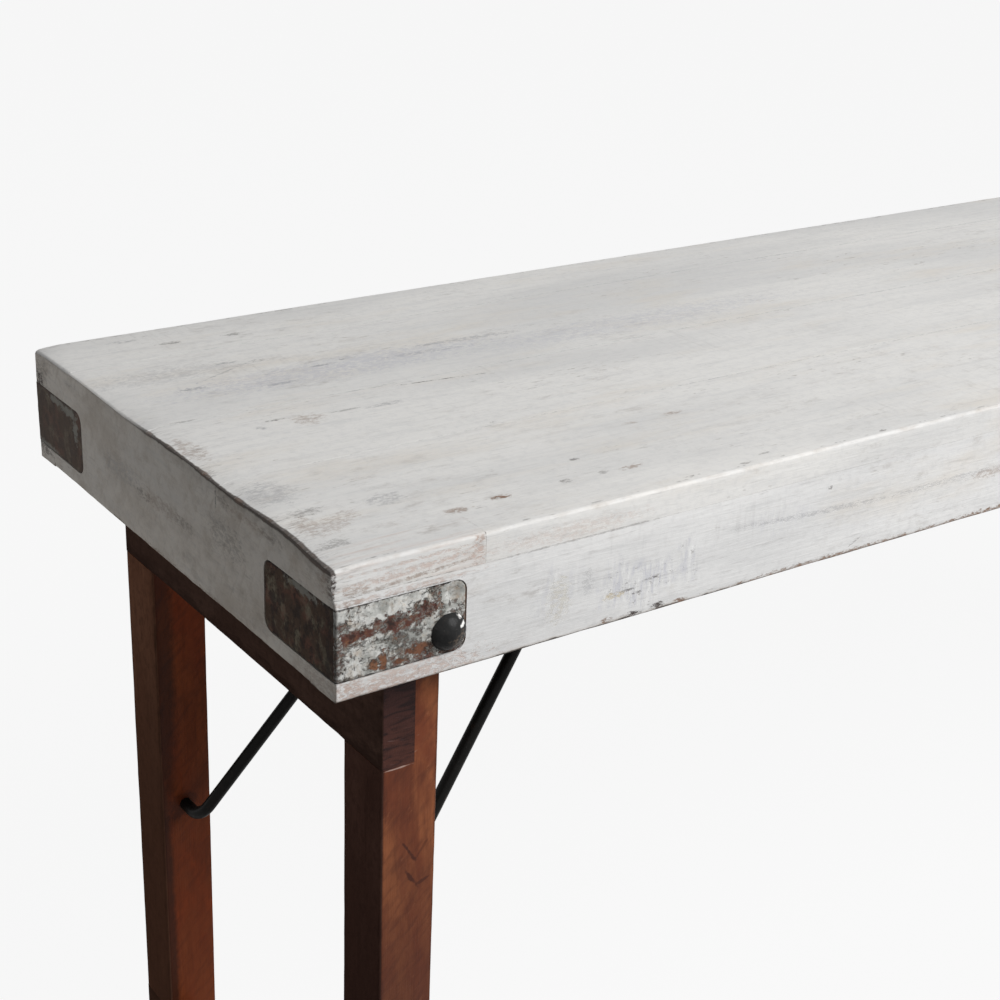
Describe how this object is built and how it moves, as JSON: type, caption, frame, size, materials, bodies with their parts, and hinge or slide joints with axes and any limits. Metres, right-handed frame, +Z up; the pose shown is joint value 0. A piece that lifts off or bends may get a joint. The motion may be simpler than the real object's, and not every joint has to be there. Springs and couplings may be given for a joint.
{
  "type": "folding console table",
  "caption": "Narrow folding console table: whitewashed plank top with iron corner straps, and hinged wooden leg frames held open by bent rod braces.",
  "frame": {"origin": "on the floor, under the middle of the top", "axes": "+X along the table's length, +Y from front to back, +Z up"},
  "size_m": [1.8, 0.466, 0.76],
  "materials": {
    "whitewashed_wood": "worn whitewash, satin",
    "stained_wood": "red-brown stain, satin",
    "bare_wood": "bare, rough",
    "painted_strap_iron": "flaking paint over rust",
    "black_steel": "black, satin",
    "zinc_steel": "dull zinc plating"
  },
  "bodies": {
    "table_top": {"plank_front": "whitewashed_wood", "plank_front_middle": "whitewashed_wood", "plank_back_middle": "whitewashed_wood", "plank_back": "whitewashed_wood", "edge_patch": "whitewashed_wood", "apron_front": "whitewashed_wood", "apron_back": "whitewashed_wood", "apron_left": "whitewashed_wood", "apron_right": "whitewashed_wood", "corner_strap_front_left": "painted_strap_iron", "corner_strap_back_left": "painted_strap_iron", "corner_strap_front_right": "painted_strap_iron", "corner_strap_back_right": "painted_strap_iron", "pivot_bolts": "black_steel", "pivot_spacers": "zinc_steel", "nut_washers": "zinc_steel", "pivot_nuts": "zinc_steel", "batten_left": "bare_wood", "batten_middle": "bare_wood", "batten_right": "bare_wood", "batten_screws": "zinc_steel", "brace_keeper_left": "black_steel", "brace_keeper_right": "black_steel", "keeper_screws": "zinc_steel"},
    "left_leg_frame": {"leg_front_left": "stained_wood", "leg_back_left": "stained_wood", "top_rail_left": "stained_wood", "stretcher_left": "stained_wood", "lap_screws_left": "zinc_steel"},
    "left_brace": {"brace_left": "black_steel"},
    "right_leg_frame": {"leg_front_right": "stained_wood", "leg_back_right": "stained_wood", "top_rail_right": "stained_wood", "stretcher_right": "stained_wood", "lap_screws_right": "zinc_steel"},
    "right_brace": {"brace_right": "black_steel"}
  },
  "joints": [
    {"name": "left_leg_fold", "type": "hinge", "parent": "table_top", "child": "left_leg_frame", "pos_m": [-0.823, 0, 0.7014], "axis": [0, -1, 0], "range_deg": [0, 90]},
    {"name": "right_leg_fold", "type": "hinge", "parent": "table_top", "child": "right_leg_frame", "pos_m": [0.823, 0, 0.7014], "axis": [0, 1, 0], "range_deg": [0, 90]},
    {"name": "left_brace_fold", "type": "hinge", "parent": "left_leg_frame", "child": "left_brace", "pos_m": [-0.8279, 0, 0.383], "axis": [0, 1, 0], "range_deg": [0, 138.1]},
    {"name": "right_brace_fold", "type": "hinge", "parent": "right_leg_frame", "child": "right_brace", "pos_m": [0.8279, 0, 0.383], "axis": [0, -1, 0], "range_deg": [0, 138.1]}
  ],
  "couplings": [
    {"joint": "left_brace_fold", "follows": "left_leg_fold", "ratio": 1.5344},
    {"joint": "right_brace_fold", "follows": "right_leg_fold", "ratio": 1.5344}
  ]
}
